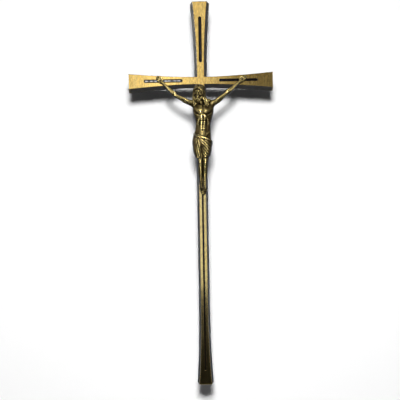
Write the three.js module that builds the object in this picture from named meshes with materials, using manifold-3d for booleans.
// Brass wall crucifix: a flared cross casting with enamelled grooves, a cast figure, its nails and screw,
// and a keyhole hanger plate let into the back of the top arm.
//
// Millimetres. +X is the viewer's right, +Z is up, and the polished face looks along -Y.
// The origin is where the post's axis crosses the bar's axis, on the back plane y = 0 that lies on the wall.

import * as THREE from 'three';
import { mergeVertices } from 'three/addons/utils/BufferGeometryUtils.js';
import Module from 'manifold-3d';

const wasm = await Module();
wasm.setup();

// Cross casting: each arm is measured from the crossing along the polished face
const castingDepth = 9;
const endDraft = 0.9;

const topArmLength = 78.5;
const topArmEndWidth = 14.2;
const topArmDraft = 2.75;
const topFlareStart = 15;
const topFlareKnee = 40;

const sideArmLength = 71.6;
const sideArmEndWidth = 15.1;
const sideArmDraft = 1.9;
const sideFlareStart = 7.5;
const sideFlareKnee = 31;

const shaftLength = 301.5;
const shaftEndWidth = 12.7;
const shaftDraft = 1.85;
const footFlareLength = 84;
const footFlareKnee = 30;

const postWidth = 7.1;
const barWidth = 7.5;
const flankSteps = 9;

// Enamelled grooves in the polished face
const grooveDepth = 1.2;
const enamelThickness = 0.7;
const enamelClearance = 0.1;
const grooveStart = 18;
const grooveEndInset = 15;
const topGrooveWidth = 3.2;
const sideGrooveWidth = 2.8;
const shaftGrooveWidth = 1.8;
const shaftGrooveStart = 110.5;
const footGrooveInset = 13.6;

// Fastener fits
const seatGap = 0.1;
const slidingClearance = 0.1;

// Nails through the hands and feet, riveted over in counterbores at the back
const nailRadius = 0.6;
const nailHeadRadius = 1.25;
const nailHeadHeight = 0.7;
const nailTailRadius = 1.1;
const nailTailHeight = 0.6;
const nailCounterboreRadius = 1.7;
const nailCounterboreDepth = 4;
const leftHandReach = 40;
const rightHandReach = 41;
const feetNailDrop = 106.5;
const feetOffset = 1;

// Screw and washer that pull the figure's back to the post
const screwDrop = 37;
const screwRadius = 1.25;
const screwHeadRadius = 2.3;
const screwHeadHeight = 1.7;
const screwReach = 6.5;
const screwSlotWidth = 0.7;
const screwSlotDepth = 0.7;
const washerRadius = 2.8;
const washerThickness = 0.5;
const counterboreRadius = 3.15;
const counterboreDepth = 5;

// Keyhole hanger plate in the back of the top arm
const hangerInset = 26.5;
const hangerHeight = topArmLength - hangerInset;
const hangerLength = 34;
const hangerWidth = 10;
const hangerThickness = 1.2;
const keyholeEntryRadius = 3.5;
const keyholeSlotWidth = 3.6;
const keyholeSlotLength = 8;
const screwHeadRoomRadius = 3.9;
const screwHeadRoomDepth = 3.4;
const hangerScrewRadius = 1;
const hangerScrewHeadRadius = 1.9;
const hangerScrewLength = 4;
const hangerScrewInset = 4;
const hangerSlotWidth = 0.5;
const hangerSlotDepth = 0.4;

// Figure: heights are dropped from the bar's axis, and depths stand forward of the polished face
const figureGap = 0.2;
const crownDrop = 7;
const headHeight = 14.6;
const headWidth = 10;
const headDepth = 11.6;
const headOffset = -2.1;
const headStandOff = 10.4;
const shoulderDrop = 27.4;
const waistDrop = 45.2;
const hipDrop = 61;
const kneeDrop = 83;
const hemDrop = 77.4;
const ankleLift = 6;
const toeReach = 8.5;
const chestWidth = 20.6;
const chestDepth = 12.8;
const waistWidth = 14.8;
const hipWidth = 18.6;
const bodyOffset = 1.7;
const hipOffset = 0.55;
const neckRadius = 3.2;
const lockRadius = 1.5;
const shoulderSpread = 9.6;
const shoulderStandOff = 7.2;
const elbowSpread = 24.6;
const elbowDrop = 15.1;
const elbowStandOff = 5.2;
const upperArmRadius = 2.55;
const forearmRadius = 2.3;
const wristRadius = 1.35;
const wristStandOff = 1.9;
const palmToWrist = 3.1;
const palmThickness = 1.7;
const palmWidth = 4.2;
const handLength = 8.2;
const fingerRadius = 0.52;
const thighRadius = 4.3;
const thighStandOff = 7.2;
const kneeStandOff = 9;
const calfStandOff = 7.6;
const ankleStandOff = 3.2;
const kneeRadius = 2.75;
const calfRadius = 2.5;
const ankleRadius = 1.6;
const footWidth = 4.1;
const footThickness = 2.3;
const feetThickness = 2 * footThickness;
const clothRise = 4.4;
const clothFolds = 9;
const clothFoldDepth = 0.45;
const foldRadius = 1.15;
const foldDrops = [0.02, 0.3, 0.58, 0.86];

const brass = new THREE.MeshStandardMaterial({ color: 0xd6b265, roughness: 0.32, metalness: 1 });
const agedBronze = new THREE.MeshStandardMaterial({ color: 0x5a4422, roughness: 0.42, metalness: 1 });
const blackEnamel = new THREE.MeshStandardMaterial({ color: 0x0d0a08, roughness: 0.12, metalness: 0 });
const nailBrass = new THREE.MeshStandardMaterial({ color: 0x9c7f3c, roughness: 0.35, metalness: 1 });
const platedSteel = new THREE.MeshStandardMaterial({ color: 0xb9bcc0, roughness: 0.4, metalness: 1 });

const toRight = new THREE.Vector3(1, 0, 0);
const toFront = new THREE.Vector3(0, -1, 0);

// Solids

function solidFrom(geometry) {
  const bare = geometry.clone();
  bare.deleteAttribute('normal');
  bare.deleteAttribute('uv');
  const merged = mergeVertices(bare, 1e-4);
  const vertProperties = new Float32Array(merged.attributes.position.array);
  const triVerts = new Uint32Array(merged.index.array);
  return new wasm.Manifold(new wasm.Mesh({ numProp: 3, vertProperties, triVerts }));
}

function geometryFrom(solid) {
  const mesh = solid.getMesh();
  const geometry = new THREE.BufferGeometry();
  geometry.setAttribute('position', new THREE.BufferAttribute(new Float32Array(mesh.vertProperties), 3));
  geometry.setIndex(new THREE.BufferAttribute(new Uint32Array(mesh.triVerts), 1));
  geometry.computeVertexNormals();
  return geometry;
}

function joined(geometries) {
  return geometries.map(solidFrom).reduce((whole, piece) => whole.add(piece));
}

function cutBy(solid, geometries) {
  return geometries.map(solidFrom).reduce((whole, tool) => whole.subtract(tool), solid);
}

function namedMesh(name, geometry, material) {
  const mesh = new THREE.Mesh(geometry, material);
  mesh.name = name;
  return mesh;
}

// A turned piece about a line that runs front to back: pairs of radius and y, from the front backwards
function turned(profile, x, z, segments = 16) {
  const points = profile.map(([radius, y]) => new THREE.Vector2(radius, y));
  const geometry = new THREE.LatheGeometry(points, segments);
  geometry.translate(x, 0, z);
  return geometry;
}

function pin(radius, frontY, backY, x, z, segments = 16) {
  return turned([[0, frontY], [radius, frontY], [radius, backY], [0, backY]], x, z, segments);
}

// A bar with round ends between two points of the face, from frontY back to backY
function roundedBar(from, to, width, frontY, backY, arcSteps = 8) {
  const radius = width / 2;
  const heading = Math.atan2(to.y - from.y, to.x - from.x);
  const outline = [];
  for (const [centre, turn] of [[to, heading - Math.PI / 2], [from, heading + Math.PI / 2]]) {
    for (let i = 0; i <= arcSteps; i += 1) {
      const angle = turn + Math.PI * i / arcSteps;
      const offset = new THREE.Vector2(radius * Math.cos(angle), radius * Math.sin(angle));
      outline.push(offset.add(centre));
    }
  }
  const depth = backY - frontY;
  const geometry = new THREE.ExtrudeGeometry(new THREE.Shape(outline), { depth, bevelEnabled: false });
  geometry.rotateX(Math.PI / 2);
  geometry.translate(0, backY, 0);
  return geometry;
}

function box(width, depth, height, x, y, z) {
  const geometry = new THREE.BoxGeometry(width, depth, height);
  geometry.translate(x, y, z);
  return geometry;
}

// Cross casting

// One flank of an arm: distance along it and half width across it, on a curve that opens out to the end
function flank(arm, draftShare) {
  const widening = arm.draft * draftShare;
  const end = arm.length + endDraft * draftShare;
  const points = [];
  for (let i = 0; i <= flankSteps; i += 1) {
    const t = i / flankSteps;
    const along = (1 - t) ** 2 * arm.flareStart + 2 * t * (1 - t) * arm.knee + t ** 2 * end;
    points.push([along, arm.half + t ** 2 * (arm.endHalf - arm.half) + widening]);
  }
  return points;
}

const sideArm = {
  length: sideArmLength,
  half: barWidth / 2,
  endHalf: sideArmEndWidth / 2,
  draft: sideArmDraft,
  flareStart: sideFlareStart,
  knee: sideFlareKnee,
};

const topArm = {
  length: topArmLength,
  half: postWidth / 2,
  endHalf: topArmEndWidth / 2,
  draft: topArmDraft,
  flareStart: topFlareStart,
  knee: topFlareKnee,
};

const shaft = {
  length: shaftLength,
  half: postWidth / 2,
  endHalf: shaftEndWidth / 2,
  draft: shaftDraft,
  flareStart: shaftLength - footFlareLength,
  knee: shaftLength - footFlareKnee,
};

// The outline seen from the front, counter-clockwise, moved outwards by a share of each arm's draft
function crossOutline(draftShare) {
  const barHalf = barWidth / 2 + sideArmDraft * draftShare;
  const topHalf = postWidth / 2 + topArmDraft * draftShare;
  const shaftHalf = postWidth / 2 + shaftDraft * draftShare;
  const arms = [
    { arm: sideArm, heading: 0, nextCorner: [topHalf, barHalf] },
    { arm: topArm, heading: Math.PI / 2, nextCorner: [-topHalf, barHalf] },
    { arm: sideArm, heading: Math.PI, nextCorner: [-shaftHalf, -barHalf] },
    { arm: shaft, heading: -Math.PI / 2, nextCorner: [shaftHalf, -barHalf] },
  ];
  const crossing = new THREE.Vector2();
  const outline = [];
  for (const { arm, heading, nextCorner } of arms) {
    const out = flank(arm, draftShare).map(([along, half]) => new THREE.Vector2(along, -half));
    const back = flank(arm, draftShare).map(([along, half]) => new THREE.Vector2(along, half)).reverse();
    for (const point of [...out, ...back]) {
      outline.push(point.rotateAround(crossing, heading));
    }
    outline.push(new THREE.Vector2(...nextCorner));
  }
  return outline;
}

// The drafted block between the polished face outline and the wider outline on the back plane
function draftedBlock() {
  const face = crossOutline(0);
  const base = crossOutline(1);
  const positions = [];
  for (const [outline, y] of [[face, -castingDepth], [base, 0]]) {
    for (const point of outline) {
      positions.push(point.x, y, point.y);
    }
  }
  const count = face.length;
  const indices = [];
  for (const [a, b, c] of THREE.ShapeUtils.triangulateShape(face, [])) {
    indices.push(a, b, c);
  }
  for (const [a, b, c] of THREE.ShapeUtils.triangulateShape(base, [])) {
    indices.push(count + c, count + b, count + a);
  }
  for (let i = 0; i < count; i += 1) {
    const next = (i + 1) % count;
    indices.push(i, count + i, next);
    indices.push(next, count + i, count + next);
  }
  const geometry = new THREE.BufferGeometry();
  geometry.setAttribute('position', new THREE.Float32BufferAttribute(positions, 3));
  geometry.setIndex(indices);
  return geometry;
}

const faceY = -castingDepth;
const grooveFloorY = faceY + grooveDepth;

const grooves = [
  {
    enamel: 'enamel_top',
    heading: Math.PI / 2,
    start: grooveStart,
    end: topArmLength - grooveEndInset,
    width: topGrooveWidth,
  },
  {
    enamel: 'enamel_left',
    heading: Math.PI,
    start: grooveStart,
    end: sideArmLength - grooveEndInset,
    width: sideGrooveWidth,
  },
  {
    enamel: 'enamel_right',
    heading: 0,
    start: grooveStart,
    end: sideArmLength - grooveEndInset,
    width: sideGrooveWidth,
  },
  {
    enamel: 'enamel_shaft',
    heading: -Math.PI / 2,
    start: shaftGrooveStart,
    end: shaftLength - footGrooveInset,
    width: shaftGrooveWidth,
  },
];

// A groove's own shape, drawn in by an inset on every side
function grooveBar(groove, inset, frontY, backY) {
  const crossing = new THREE.Vector2();
  const endCentre = groove.width / 2;
  const from = new THREE.Vector2(groove.start + endCentre, 0).rotateAround(crossing, groove.heading);
  const to = new THREE.Vector2(groove.end - endCentre, 0).rotateAround(crossing, groove.heading);
  return roundedBar(from, to, groove.width - 2 * inset, frontY, backY);
}

const nails = [
  { name: 'nail_left_hand', x: -leftHandReach, z: 0, seat: palmThickness },
  { name: 'nail_right_hand', x: rightHandReach, z: 0, seat: palmThickness },
  { name: 'nail_feet', x: feetOffset, z: -feetNailDrop, seat: feetThickness },
];

const seatY = faceY - figureGap;
const nailHoleRadius = nailRadius + slidingClearance;

function nailHole(nail, frontY, backY) {
  return pin(nailHoleRadius, frontY, backY, nail.x, nail.z);
}

const hangerBackY = -seatGap;
const hangerFrontY = hangerBackY - hangerThickness;
const hangerPocketY = hangerFrontY - seatGap;
const keyholeEntry = new THREE.Vector2(0, hangerHeight - keyholeSlotLength / 2);
const keyholeTop = new THREE.Vector2(0, hangerHeight + keyholeSlotLength / 2);
const hangerScrewHeights = [
  hangerHeight + hangerLength / 2 - hangerScrewInset,
  hangerHeight - hangerLength / 2 + hangerScrewInset,
];

function hangerBar(grow, frontY, backY) {
  const reach = (hangerLength - hangerWidth) / 2;
  const from = new THREE.Vector2(0, hangerHeight - reach);
  const to = new THREE.Vector2(0, hangerHeight + reach);
  return roundedBar(from, to, hangerWidth + 2 * grow, frontY, backY, 12);
}

function crossBody() {
  const past = 1;
  const cuts = grooves.map((groove) => grooveBar(groove, 0, faceY - past, grooveFloorY));
  for (const nail of nails) {
    cuts.push(nailHole(nail, faceY - past, past));
    cuts.push(pin(nailCounterboreRadius, -nailCounterboreDepth, past, nail.x, nail.z));
  }
  cuts.push(pin(screwRadius + slidingClearance, faceY - past, past, 0, -screwDrop));
  cuts.push(pin(counterboreRadius, -counterboreDepth, past, 0, -screwDrop, 24));
  cuts.push(hangerBar(slidingClearance, hangerPocketY, past));
  const roomY = hangerPocketY - screwHeadRoomDepth;
  cuts.push(roundedBar(keyholeEntry, keyholeTop, 2 * screwHeadRoomRadius, roomY, past, 12));
  for (const z of hangerScrewHeights) {
    const tipY = hangerBackY - hangerScrewLength - seatGap;
    cuts.push(pin(hangerScrewRadius + slidingClearance, tipY, past, 0, z));
  }
  return geometryFrom(cutBy(solidFrom(draftedBlock()), cuts));
}

function enamel(groove) {
  const backY = grooveFloorY - enamelClearance;
  const frontY = backY - enamelThickness;
  const fill = solidFrom(grooveBar(groove, enamelClearance, frontY, backY));
  return geometryFrom(cutBy(fill, nails.map((nail) => nailHole(nail, frontY - 1, backY + 1))));
}

// Fasteners

function nailPiece(nail) {
  const headY = seatY - nail.seat - seatGap;
  const tailY = -nailCounterboreDepth + seatGap;
  const profile = [
    [0, headY - nailHeadHeight],
    [nailHeadRadius * 0.5, headY - nailHeadHeight * 0.88],
    [nailHeadRadius * 0.87, headY - nailHeadHeight * 0.5],
    [nailHeadRadius, headY],
    [nailRadius, headY],
    [nailRadius, tailY],
    [nailTailRadius, tailY],
    [nailTailRadius * 0.85, tailY + nailTailHeight * 0.7],
    [nailTailRadius * 0.45, tailY + nailTailHeight],
    [0, tailY + nailTailHeight],
  ];
  return turned(profile, nail.x, nail.z, 12);
}

const screwTipY = faceY - figureGap - screwReach;
const washerFrontY = -counterboreDepth + seatGap;
const washerBackY = washerFrontY + washerThickness;
const screwSeatY = washerBackY + seatGap;

function corpusScrew() {
  const topY = screwSeatY + screwHeadHeight;
  const profile = [
    [0, screwTipY],
    [screwRadius * 0.7, screwTipY],
    [screwRadius, screwTipY + screwRadius * 0.5],
    [screwRadius, screwSeatY],
    [screwHeadRadius, screwSeatY],
    [screwHeadRadius, screwSeatY + screwHeadHeight * 0.55],
    [screwHeadRadius * 0.75, screwSeatY + screwHeadHeight * 0.9],
    [screwHeadRadius * 0.4, topY],
    [0, topY],
  ];
  const slot = box(3 * screwHeadRadius, 2 * screwSlotDepth, screwSlotWidth, 0, topY, -screwDrop);
  return geometryFrom(cutBy(solidFrom(turned(profile, 0, -screwDrop, 20)), [slot]));
}

function corpusWasher() {
  const bore = screwRadius + slidingClearance;
  const profile = [
    [bore, washerFrontY],
    [washerRadius, washerFrontY],
    [washerRadius, washerBackY],
    [bore, washerBackY],
    [bore, washerFrontY],
  ];
  return turned(profile, 0, -screwDrop, 24);
}

function hangerPlate() {
  const past = 1;
  const head = hangerScrewHeadRadius + slidingClearance;
  const hole = hangerScrewRadius + slidingClearance;
  const cuts = [
    pin(keyholeEntryRadius, hangerFrontY - past, past, keyholeEntry.x, keyholeEntry.y, 28),
    roundedBar(keyholeEntry, keyholeTop, keyholeSlotWidth, hangerFrontY - past, past, 8),
  ];
  for (const z of hangerScrewHeights) {
    const coneY = hangerBackY - (head - hole);
    const profile = [
      [0, hangerFrontY - past],
      [hole, hangerFrontY - past],
      [hole, coneY],
      [head, hangerBackY],
      [head, past],
      [0, past],
    ];
    cuts.push(turned(profile, 0, z, 20));
  }
  return geometryFrom(cutBy(solidFrom(hangerBar(0, hangerFrontY, hangerBackY)), cuts));
}

function hangerScrew(z) {
  const tipY = hangerBackY - hangerScrewLength;
  const topY = hangerBackY - seatGap / 2;
  const coneY = topY - (hangerScrewHeadRadius - hangerScrewRadius);
  const profile = [
    [0, tipY],
    [hangerScrewRadius, tipY + hangerScrewRadius],
    [hangerScrewRadius, coneY],
    [hangerScrewHeadRadius, topY],
    [0, topY],
  ];
  const slot = box(hangerSlotWidth, 2 * hangerSlotDepth, 3 * hangerScrewHeadRadius, 0, topY, z);
  return geometryFrom(cutBy(solidFrom(turned(profile, 0, z, 20)), [slot]));
}

// Figure

// A point of the figure: x, z, and its height forward of the seat on the polished face
function at(x, z, height) {
  return new THREE.Vector3(x, seatY - height, z);
}

// One closed section, counter-clockwise about the direction in which the body is lofted
function section(centre, across, forward, halfWidth, halfDepth, count, power = 2, ripple = () => 1) {
  const points = [];
  for (let i = 0; i < count; i += 1) {
    const angle = 2 * Math.PI * i / count;
    const c = Math.cos(angle);
    const s = Math.sin(angle);
    const radius = ripple(angle) / (Math.abs(c) ** power + Math.abs(s) ** power) ** (1 / power);
    const point = centre.clone();
    point.addScaledVector(across, halfWidth * c * radius);
    point.addScaledVector(forward, halfDepth * s * radius);
    points.push(point);
  }
  return points;
}

// A closed body through matching sections, with each end drawn to a point
function loft(sections, startPoint, endPoint) {
  const count = sections[0].length;
  const positions = sections.flat().concat([startPoint, endPoint]).flatMap((point) => point.toArray());
  const start = sections.length * count;
  const end = start + 1;
  const last = (sections.length - 1) * count;
  const indices = [];
  for (let i = 0; i < count; i += 1) {
    const next = (i + 1) % count;
    indices.push(start, next, i);
    indices.push(end, last + i, last + next);
    for (let row = 0; row < last; row += count) {
      indices.push(row + i, row + next, row + count + i);
      indices.push(row + count + i, row + next, row + count + next);
    }
  }
  const geometry = new THREE.BufferGeometry();
  geometry.setAttribute('position', new THREE.Float32BufferAttribute(positions, 3));
  geometry.setIndex(indices);
  return geometry;
}

// A rounded limb through stations of [centre, half width, half depth], smoothed and domed at both ends
function limb(stations, count = 10, steps = 2, power = 2) {
  const path = new THREE.CatmullRomCurve3(stations.map(([centre]) => centre));
  const girths = stations.map(([, width, depth = width]) => new THREE.Vector3(width, depth));
  const girth = new THREE.CatmullRomCurve3(girths);
  const total = (stations.length - 1) * steps;
  const sections = [];
  const addSection = (centre, tangent, size, share) => {
    const across = new THREE.Vector3().crossVectors(toFront, tangent).normalize();
    const forward = new THREE.Vector3().crossVectors(tangent, across);
    sections.push(section(centre, across, forward, size.x * share, size.y * share, count, power));
  };
  const ends = [0, 1].map((t) => {
    const size = girth.getPoint(t);
    const reach = Math.min(size.x, size.y) * (t === 0 ? -1 : 1);
    return { centre: path.getPoint(t), tangent: path.getTangent(t), size, reach };
  });
  const beyond = (end, share) => end.centre.clone().addScaledVector(end.tangent, end.reach * share);
  addSection(beyond(ends[0], 0.5), ends[0].tangent, ends[0].size, 0.8);
  for (let i = 0; i <= total; i += 1) {
    addSection(path.getPoint(i / total), path.getTangent(i / total), girth.getPoint(i / total), 1);
  }
  addSection(beyond(ends[1], 0.5), ends[1].tangent, ends[1].size, 0.8);
  return loft(sections, beyond(ends[0], 0.8), beyond(ends[1], 0.8));
}

// A rounded swelling on the body
function lump(centre, halfWidth, halfDepth, halfHeight) {
  const geometry = new THREE.SphereGeometry(1, 10, 8);
  geometry.scale(halfWidth, halfDepth, halfHeight);
  geometry.translate(...centre.toArray());
  return geometry;
}

const handOffset = (rightHandReach - leftHandReach) / 2;
const shoulderZ = -shoulderDrop;
const waistZ = -waistDrop;
const hipZ = -hipDrop;
const headCentre = at(headOffset, -(crownDrop + headHeight / 2), headStandOff);

// The head bows forward and turns a little towards its lowered side
const headUp = new THREE.Vector3(0.1, -0.3, 0.95).normalize();
const headRight = new THREE.Vector3().crossVectors(headUp, new THREE.Vector3(-0.24, -0.9, -0.3)).normalize();
const headFacing = new THREE.Vector3().crossVectors(headRight, headUp);
const headDown = headUp.clone().negate();

// A point of the head, in shares of its width, height and depth from its centre
function onHead(across, up, forward) {
  return headCentre.clone()
    .addScaledVector(headRight, across * headWidth)
    .addScaledVector(headUp, up * headHeight)
    .addScaledVector(headFacing, forward * headDepth);
}

function headForm(rows, count) {
  const sections = rows.map(([up, width, depth, shift]) => section(
    onHead(0, up, shift), headRight, headFacing, width * headWidth / 2, depth * headDepth / 2, count, 2.2,
  ));
  const [topUp, , , topShift] = rows[0];
  const [endUp, , , endShift] = rows.at(-1);
  return loft(sections, onHead(0, topUp + 0.02, topShift), onHead(0, endUp - 0.02, endShift));
}

function skull() {
  return headForm([
    [0.46, 0.3, 0.3, -0.06],
    [0.4, 0.6, 0.62, -0.05],
    [0.27, 0.88, 0.9, -0.03],
    [0.1, 0.97, 0.98, 0],
    [-0.08, 0.92, 0.95, 0.01],
    [-0.22, 0.82, 0.84, 0.06],
    [-0.36, 0.64, 0.64, 0.13],
    [-0.46, 0.4, 0.4, 0.19],
  ], 16);
}

function hairCap() {
  return headForm([
    [0.5, 0.36, 0.38, -0.1],
    [0.45, 0.7, 0.72, -0.1],
    [0.33, 1.0, 0.96, -0.08],
    [0.15, 1.16, 1.0, -0.1],
    [-0.08, 1.2, 0.94, -0.14],
    [-0.3, 1.18, 0.86, -0.18],
    [-0.5, 1.1, 0.74, -0.2],
    [-0.66, 0.84, 0.56, -0.2],
  ], 18);
}

function faceForms() {
  const girth = headWidth / 20;
  const brow = limb([
    [onHead(-0.3, 0.08, 0.4), girth],
    [onHead(0, 0.1, 0.47), girth * 1.2],
    [onHead(0.3, 0.08, 0.4), girth],
  ], 6);
  const nose = limb([
    [onHead(0, 0.06, 0.47), girth * 0.9],
    [onHead(0, -0.04, 0.54), girth * 1.2],
    [onHead(0, -0.12, 0.56), girth * 1.6],
  ], 6);
  const eyelids = [-1, 1].map((side) => lump(
    onHead(side * 0.19, 0.02, 0.41), girth * 1.9, girth * 1.4, girth * 1.2,
  ));
  const moustache = limb([
    [onHead(-0.22, -0.26, 0.42), girth],
    [onHead(0, -0.18, 0.52), girth * 1.5],
    [onHead(0.22, -0.26, 0.42), girth],
  ], 8);
  const beard = limb([
    [onHead(0, -0.3, 0.34), girth * 5.8, girth * 4.4],
    [onHead(0, -0.44, 0.33), girth * 5.6, girth * 4.2],
    [onHead(0, -0.58, 0.3), girth * 4, girth * 3.2],
    [onHead(0, -0.68, 0.28), girth * 1.8, girth * 1.6],
  ]);
  return [brow, nose, ...eyelids, moustache, beard];
}

function hairLocks() {
  const restZ = shoulderZ + headHeight * 0.12;
  const left = limb([
    [onHead(-0.2, 0.36, 0.22), lockRadius * 0.75],
    [onHead(-0.46, 0.16, 0.22), lockRadius * 0.87],
    [onHead(-0.55, -0.12, 0.2), lockRadius],
    [onHead(-0.5, -0.42, 0.16), lockRadius],
    [at(bodyOffset - chestWidth * 0.39, restZ, chestDepth * 0.81), lockRadius * 0.6],
  ]);
  const right = limb([
    [onHead(0.2, 0.36, 0.22), lockRadius * 0.8],
    [onHead(0.48, 0.16, 0.18), lockRadius * 1.07],
    [onHead(0.6, -0.12, 0.08), lockRadius * 1.33],
    [onHead(0.62, -0.42, -0.02), lockRadius * 1.47],
    [at(bodyOffset + chestWidth * 0.2, restZ, chestDepth * 0.75), lockRadius * 0.8],
  ]);
  return [left, right];
}

function neck() {
  const leanX = THREE.MathUtils.lerp(bodyOffset, headOffset, 0.36);
  return limb([
    [at(bodyOffset, shoulderZ - neckRadius * 0.6, shoulderStandOff * 0.92), neckRadius * 1.12, neckRadius],
    [at(leanX, shoulderZ + neckRadius * 0.94, shoulderStandOff * 1.06), neckRadius, neckRadius * 0.94],
    [onHead(0, -0.3, -0.06), neckRadius * 0.97],
  ], 12);
}

// Torso stations: height, half width, half depth, the clearance behind the back as a share of the chest's
// depth, and the centre line's x
function torso() {
  const chest = chestWidth / 2;
  const waist = waistWidth / 2;
  const hip = hipWidth / 2;
  const deep = chestDepth / 2;
  const ribs = (share) => THREE.MathUtils.lerp(shoulderZ, waistZ, share);
  const belly = (share) => THREE.MathUtils.lerp(waistZ, hipZ, share);
  const rows = [
    [shoulderZ + headHeight * 0.2, chest * 0.5, deep * 0.5, 0.17, bodyOffset * 0.5],
    [shoulderZ + headHeight * 0.08, chest * 0.76, deep * 0.74, 0.095, bodyOffset],
    [ribs(0.1), chest * 0.93, deep * 0.92, 0.055, bodyOffset],
    [ribs(0.28), chest, deep, 0.04, bodyOffset],
    [ribs(0.5), chest * 0.94, deep * 0.98, 0.04, bodyOffset],
    [ribs(0.76), (chest * 0.3 + waist * 0.7) * 0.98, deep * 0.86, 0.08, bodyOffset],
    [ribs(1), waist, deep * 0.74, 0.125, bodyOffset],
    [belly(0.35), waist * 1.04, deep * 0.78, 0.12, bodyOffset * 0.9],
    [belly(0.7), hip * 0.93, deep * 0.86, 0.08, THREE.MathUtils.lerp(hipOffset, bodyOffset, 0.35)],
    [belly(1), hip, deep * 0.92, 0.05, hipOffset],
    [hipZ - hip * 0.54, hip * 0.9, deep * 0.84, 0.07, hipOffset],
    [hipZ - hip * 0.86, hip * 0.66, deep * 0.6, 0.17, hipOffset],
  ];
  const sections = rows.map(([z, halfWidth, halfDepth, clearance, x]) => section(
    at(x, z, clearance * chestDepth + halfDepth), toRight, toFront, halfWidth, halfDepth, 26, 2.3,
  ));
  const neckEnd = at(bodyOffset, shoulderZ + headHeight * 0.23, deep * 0.78);
  const seatEnd = at(hipOffset, hipZ - hip * 0.96, deep * 0.78);
  return loft(sections, neckEnd, seatEnd);
}

function torsoForms() {
  const breastZ = THREE.MathUtils.lerp(shoulderZ, waistZ, 0.2);
  const bellyZ = THREE.MathUtils.lerp(waistZ, hipZ, 0.3);
  const breasts = [-1, 1].map((side) => lump(
    at(bodyOffset + side * chestWidth * 0.22, breastZ, chestDepth * 0.85),
    chestWidth * 0.24,
    chestDepth * 0.15,
    chestDepth * 0.28,
  ));
  const belly = lump(
    at(bodyOffset, bellyZ, chestDepth * 0.72), waistWidth * 0.33, waistWidth * 0.16, waistWidth * 0.4,
  );
  return [...breasts, belly];
}

// An arm from inside the chest out to the wrist, and the direction in which its hand carries on
function armAndHand(side, handReach) {
  const nailX = side * handReach;
  const handAlong = new THREE.Vector3(side * 0.72, 0, 0.694).normalize();
  const handAcross = new THREE.Vector3(-handAlong.z * side, 0, handAlong.x * side);
  const wrist = at(nailX, 0, wristStandOff).addScaledVector(handAlong, -palmToWrist);
  const shoulderX = bodyOffset + side * shoulderSpread;
  const armpitX = bodyOffset + side * shoulderSpread * 0.5;
  const shoulder = at(shoulderX, shoulderZ, shoulderStandOff);
  const elbow = at((bodyOffset + handOffset) / 2 + side * elbowSpread, -elbowDrop, elbowStandOff);
  const armpit = at(armpitX, shoulderZ - upperArmRadius, shoulderStandOff * 0.94);
  const between = (a, b, share, raise) => a.clone().lerp(b, share).addScaledVector(toFront, raise);
  const arm = limb([
    [armpit, upperArmRadius * 1.25],
    [shoulder, upperArmRadius * 1.16],
    [between(shoulder, elbow, 0.45, upperArmRadius * 0.12), upperArmRadius],
    [elbow, upperArmRadius * 0.78],
    [between(elbow, wrist, 0.28, forearmRadius * 0.22), forearmRadius],
    [between(elbow, wrist, 0.66, forearmRadius * 0.04), forearmRadius * 0.8],
    [wrist, wristRadius, wristRadius * 0.85],
  ], 12);
  const onHand = (along, across, height) => {
    const point = at(nailX, 0, height);
    return point.addScaledVector(handAlong, along - palmToWrist).addScaledVector(handAcross, across);
  };
  const palmHalf = palmThickness / 2;
  const palm = limb([
    [onHand(0, 0, wristStandOff), wristRadius, wristRadius * 0.85],
    [onHand(palmToWrist * 0.58, 0, palmHalf * 1.35), palmWidth * 0.42, palmHalf],
    [onHand(palmToWrist, 0, palmHalf), palmWidth / 2, palmHalf],
    [onHand(handLength * 0.55, 0, palmHalf), palmWidth * 0.49, palmHalf * 0.9],
  ], 12);
  const fingers = [-1.5, -0.5, 0.5, 1.5].map((place) => limb([
    [onHand(handLength * 0.55, place * palmWidth * 0.235, palmHalf), fingerRadius * 1.1],
    [onHand(handLength * 0.78, place * palmWidth * 0.23, palmHalf * 1.47), fingerRadius],
    [onHand(handLength * 0.92, place * palmWidth * 0.22, palmHalf * 2.53), fingerRadius * 0.85],
  ], 6));
  const thumb = limb([
    [onHand(handLength * 0.17, palmWidth * 0.32, palmHalf * 1.35), fingerRadius * 1.3],
    [onHand(handLength * 0.37, palmWidth * 0.58, palmHalf * 1.7), fingerRadius * 1.15],
    [onHand(handLength * 0.56, palmWidth * 0.62, palmHalf * 2.3), fingerRadius * 0.9],
  ], 6);
  return [arm, palm, ...fingers, thumb];
}

const kneeZ = -kneeDrop;
const feetZ = -feetNailDrop;
const ankleZ = feetZ + ankleLift;

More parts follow.
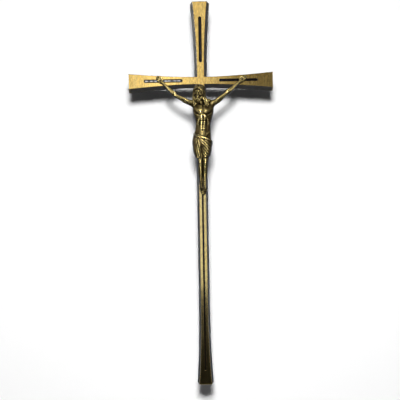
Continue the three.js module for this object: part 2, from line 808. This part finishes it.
// The legs lie together, and the feet cross with the front one over the one that lies on the post
function legAndFoot(side, inFront) {
  const { lerp } = THREE.MathUtils;
  const kneeX = feetOffset + side * kneeRadius * 0.95;
  const layer = inFront ? 1.5 : 0.5;
  const rise = footThickness * layer;
  const thighTop = at(hipOffset + side * hipWidth * 0.24, hipZ - hipWidth * 0.11, thighStandOff);
  const thighHeight = lerp(thighStandOff, kneeStandOff, 0.75);
  const midThigh = at(hipOffset + side * hipWidth * 0.2, (hipZ + kneeZ) / 2, thighHeight);
  const calf = at(kneeX - side * calfRadius * 0.12, lerp(kneeZ, ankleZ, 0.37), calfStandOff);
  const shinHeight = lerp(calfStandOff, ankleStandOff, 0.5) + rise * 0.22;
  const shin = at(feetOffset + side * ankleRadius * 1.1, lerp(kneeZ, ankleZ, 0.74), shinHeight);
  const ankle = at(feetOffset + side * ankleRadius, ankleZ, ankleStandOff + rise * 0.43);
  const instep = at(feetOffset + side * footWidth * 0.22, feetZ + ankleLift / 2, rise + footThickness * 0.39);
  const ballZ = feetZ - toeReach * 0.6;
  const ball = at(feetOffset - side * footWidth * 0.1, ballZ, rise * 0.4 + footThickness * 0.3);
  const toeZ = feetZ - toeReach * (inFront ? 0.95 : 0.8);
  const toes = at(feetOffset - side * footWidth * 0.15, toeZ, rise * 0.35 + footThickness * 0.25);
  const leg = limb([
    [thighTop, thighRadius, thighRadius * 1.15],
    [midThigh, thighRadius * 0.86, thighRadius],
    [at(kneeX, kneeZ, kneeStandOff), kneeRadius * 0.98, kneeRadius * 1.1],
    [calf, calfRadius, calfRadius * 1.1],
    [shin, calfRadius * 0.78],
    [ankle, ankleRadius, ankleRadius * 1.05],
  ], 12);
  const foot = limb([
    [ankle, ankleRadius * 1.05, ankleRadius],
    [instep, footWidth * 0.42, footThickness * 0.56],
    [at(feetOffset + side * footWidth * 0.05, feetZ, rise), footWidth * 0.47, footThickness / 2],
    [ball, footWidth / 2, footThickness * 0.42],
    [toes, footWidth * 0.36, footThickness * 0.3],
  ]);
  return [leg, foot];
}

// Loincloth girth from its upper edge to its hem: shares of the hips' width and the chest's depth, and the
// clearance behind as a share of the chest's depth
const clothGirth = new THREE.CatmullRomCurve3([
  [0.96, 0.98, 0.055],
  [1.02, 1.09, 0.023],
  [1.05, 1.13, 0.023],
  [1.03, 1.13, 0.063],
  [0.96, 1.08, 0.125],
  [0.86, 0.98, 0.19],
  [0.74, 0.86, 0.265],
].map(([width, depth, clearance]) => new THREE.Vector3(
  width * hipWidth / 2,
  depth * chestDepth / 2,
  clearance * chestDepth,
)));

// A point on the cloth: its angle from the viewer's right round the front, its share of the way down to the
// hem, and how proud of the cloth it stands. The upper edge falls from the knotted hip to the other one.
function clothPoint(angle, share, proud) {
  const girth = clothGirth.getPoint(share);
  const c = Math.cos(angle);
  const s = Math.sin(angle);
  const radius = (Math.abs(c) ** 2.2 + Math.abs(s) ** 2.2) ** (-1 / 2.2);
  const x = hipOffset + hipWidth * 0.03 * share + (girth.x + proud) * c * radius;
  const height = girth.z + girth.y + (girth.y + proud) * s * radius;
  const upperEdge = hipZ + clothRise - 0.42 * (x - hipOffset);
  const hem = -hemDrop + 0.12 * Math.abs(x - hipOffset);
  return at(x, THREE.MathUtils.lerp(upperEdge, hem, share), height);
}

function loincloth() {
  const count = 36;
  const rows = 6;
  const sections = [];
  for (let row = 0; row <= rows; row += 1) {
    const share = row / rows;
    const ring = [];
    for (let i = 0; i < count; i += 1) {
      const angle = 2 * Math.PI * i / count;
      const pleat = clothFoldDepth * share * Math.sin(clothFolds * angle + 2.5 * share);
      ring.push(clothPoint(angle, share, pleat));
    }
    sections.push(ring);
  }
  const upperEnd = at(hipOffset, hipZ + clothRise * 0.45, chestDepth / 2);
  const hemEnd = at(hipOffset + hipWidth * 0.04, -hemDrop + clothRise * 0.23, chestDepth * 0.6);
  return loft(sections, upperEnd, hemEnd);
}

// Folds fan out over the front from the knot to the far hip, and a tail hangs from the knot
function clothTrim() {
  const knotAngle = Math.PI * 0.7;
  const farAngle = Math.PI * 0.04;
  const folds = foldDrops.map((drop) => limb([0, 0.25, 0.5, 0.75, 1].map((step) => [
    clothPoint(THREE.MathUtils.lerp(knotAngle, farAngle, step), 0.03 + drop * step, -foldRadius * 0.35),
    foldRadius * (0.7 + 1.2 * step * (1 - step)),
  ]), 6));
  const knotPoint = clothPoint(knotAngle, 0.04, 0);
  const knot = lump(knotPoint, foldRadius * 1.65, foldRadius * 1.4, foldRadius * 1.75);
  const tail = limb([
    [clothPoint(knotAngle + 0.05, 0.06, foldRadius * 0.1), foldRadius * 1.2, foldRadius * 1.05],
    [clothPoint(knotAngle + 0.55, 0.4, foldRadius * 0.2), foldRadius * 1.75, foldRadius * 1.3],
    [clothPoint(knotAngle + 0.6, 0.75, foldRadius * 0.7), foldRadius * 2, foldRadius * 1.3],
    [clothPoint(knotAngle + 0.45, 1, foldRadius * 0.5), foldRadius * 1.2, foldRadius * 0.95],
  ]);
  return [...folds, knot, tail];
}

function corpus() {
  const figure = joined([
    skull(),
    hairCap(),
    ...faceForms(),
    ...hairLocks(),
    neck(),
    torso(),
    ...torsoForms(),
    ...armAndHand(-1, leftHandReach),
    ...armAndHand(1, rightHandReach),
    ...legAndFoot(-1, false),
    ...legAndFoot(1, true),
    loincloth(),
    ...clothTrim(),
  ]);
  const wide = 2 * (leftHandReach + rightHandReach);
  const tall = 2 * (feetNailDrop + toeReach);
  const behindSeat = box(wide, castingDepth, 2 * tall, 0, seatY + castingDepth / 2, 0);
  const screwBore = pin(screwRadius + slidingClearance, screwTipY - seatGap, 0, 0, -screwDrop);
  const cuts = [behindSeat, screwBore];
  for (const nail of nails) {
    const headY = seatY - nail.seat - seatGap;
    cuts.push(nailHole(nail, headY - nailHeadHeight, 0));
    const roomRadius = nailHeadRadius + slidingClearance;
    cuts.push(pin(roomRadius, headY - 4 * nailHeadHeight, headY + seatGap, nail.x, nail.z));
  }
  return geometryFrom(cutBy(figure, cuts));
}

const crucifix = new THREE.Group();
crucifix.add(namedMesh('cross_body', crossBody(), brass));
for (const groove of grooves) {
  crucifix.add(namedMesh(groove.enamel, enamel(groove), blackEnamel));
}
crucifix.add(namedMesh('corpus', corpus(), agedBronze));
for (const nail of nails) {
  crucifix.add(namedMesh(nail.name, nailPiece(nail), nailBrass));
}
crucifix.add(namedMesh('corpus_screw', corpusScrew(), platedSteel));
crucifix.add(namedMesh('corpus_washer', corpusWasher(), platedSteel));
crucifix.add(namedMesh('hanger_plate', hangerPlate(), platedSteel));
crucifix.add(namedMesh('hanger_screw_upper', hangerScrew(hangerScrewHeights[0]), platedSteel));
crucifix.add(namedMesh('hanger_screw_lower', hangerScrew(hangerScrewHeights[1]), platedSteel));

export default crucifix;
